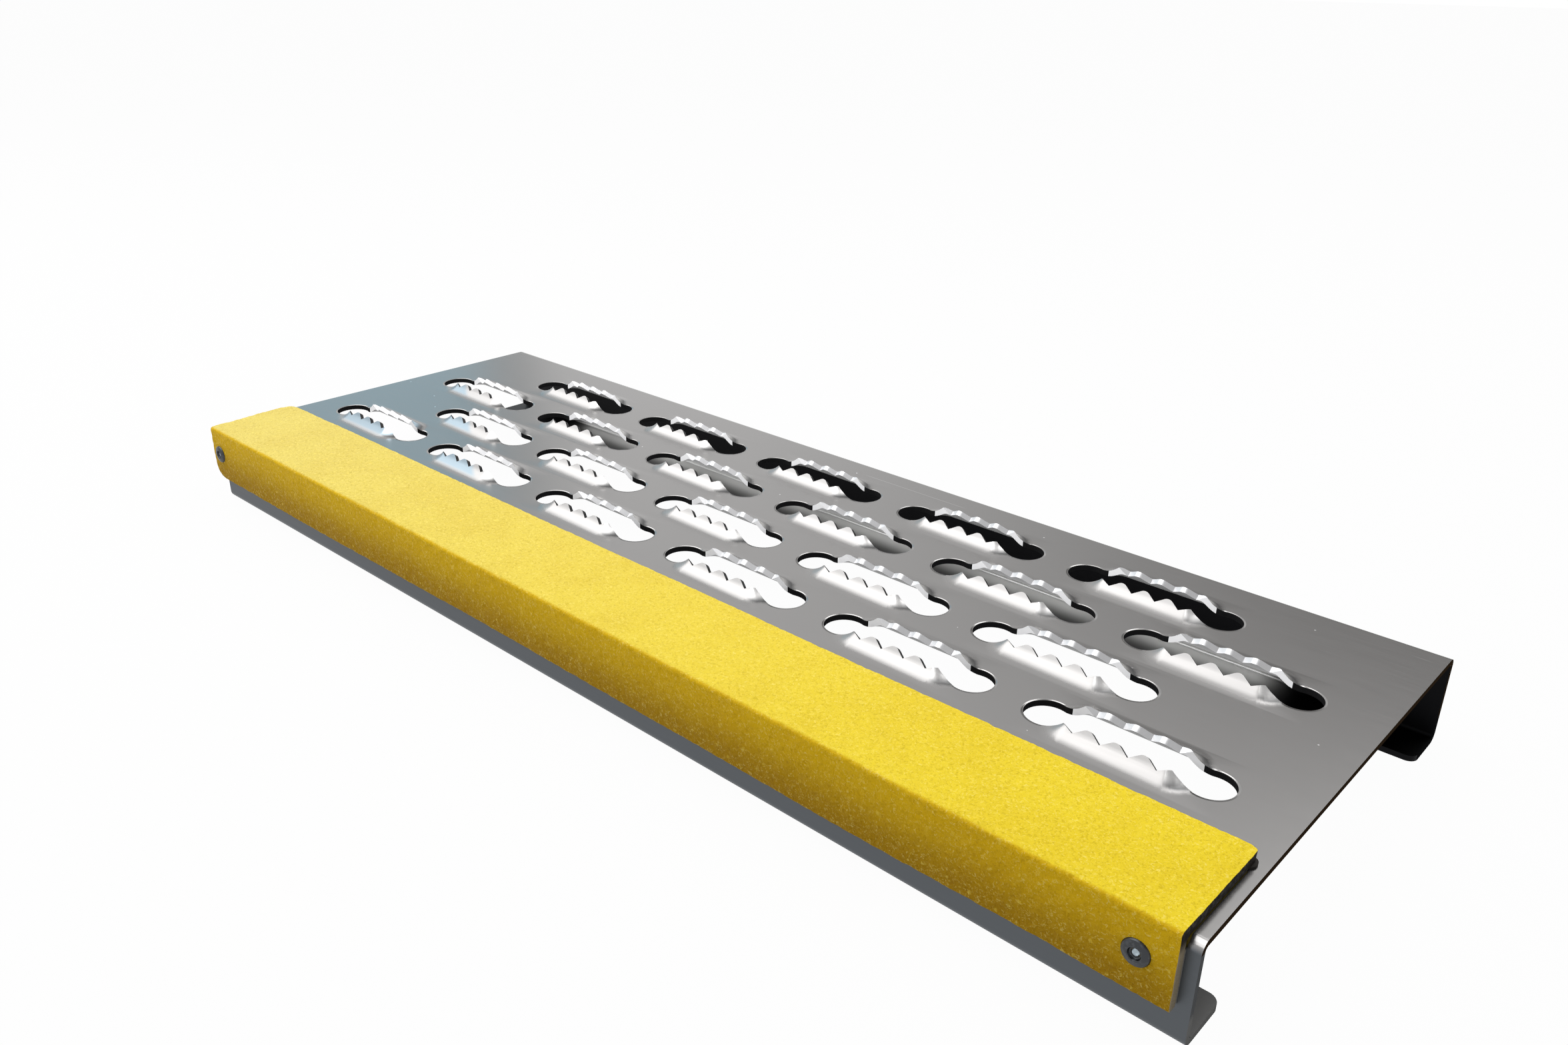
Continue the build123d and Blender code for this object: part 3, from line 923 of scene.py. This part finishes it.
body_outline = [
    (1.45, -10.5, 0), (1.45, 0.15, 0.1), (1.95, 0.15, 0.3), (2.2, 1.1, 0.15), (2.55, 1.22, 0.2),
    (4.45, 0.72, 0.5), (4.8, 0.0, 0.08), (2.4, 0.0, 0), (2.4, -6.5, 0), (3.7, -6.5, 0.6), (3.7, -10.5, 1.1),
]
pin_outline = [
    (0.0, 0.42, 0), (1.0, 0.38, 0.2), (1.4, 0.1, 0.15), (1.4, -10.5, 0), (2.1, -10.5, 0.2),
    (2.1, -12.9, 0.7), (0.0, -12.9, 0),
]


def rivet(side_name):
    """The body and the pin of one rivet, on the nosing's front where its solids are."""
    low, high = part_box(side_name + "_rivet_body")
    centre = ((low.x + high.x) / 2, nosing_face, (low.z + high.z) / 2)
    made = []
    for part, outline, slot in (("body", body_outline, "rivet"), ("mandrel", pin_outline, "rivet_pin")):
        shape = rounded([tuple(mm * value for value in corner) for corner in outline])
        thing = turned(f"{side_name}_{part}_turned", shape, centre)
        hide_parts(f"{side_name}_rivet_{part}")
        made.append(thing)
    return made


rivet_bodies, rivet_pins = zip(rivet("left"), rivet("right"))
print("rivets:", [thing.name for thing in (*rivet_bodies, *rivet_pins)])

# %% [markdown]
# Rivet metal
#
# The heads are dark and dull from the weather, while the pins broken off inside them are brighter. Both
# have small scuffs where the metal is a little paler and rougher.

# %% Rivet finishes
scuff_scale, scuff_fade, scuff_roughness = 900.0, (0.45, 0.7), 0.15
scuff_gain = 1.5


def rivet_metal(name, colour, roughness):
    """Metal with small scuffs."""
    paint, tree, metal, place = principled(name)
    scuffs = node(tree, "TexNoise", Vector=place["Object"], Scale=scuff_scale, Detail=4.0).outputs["Fac"]
    paler = tuple(min(1.0, scuff_gain * value) for value in colour)
    feed(tree, metal.inputs["Base Color"], blend(tree, ease(tree, scuffs, *scuff_fade), colour, paler))
    metal.inputs["Metallic"].default_value = 1.0
    worn_roughness = ease(tree, scuffs, 0.3, 0.7, roughness, roughness + scuff_roughness)
    feed(tree, metal.inputs["Roughness"], worn_roughness)
    return paint


dull_rivet = rivet_metal("dull_rivet", (0.055, 0.058, 0.062), 0.3)
bright_pin = rivet_metal("bright_pin", (0.34, 0.40, 0.44), 0.3)
for things, metal in ((rivet_bodies, dull_rivet), (rivet_pins, bright_pin)):
    for thing in things:
        thing.data.materials.append(metal)
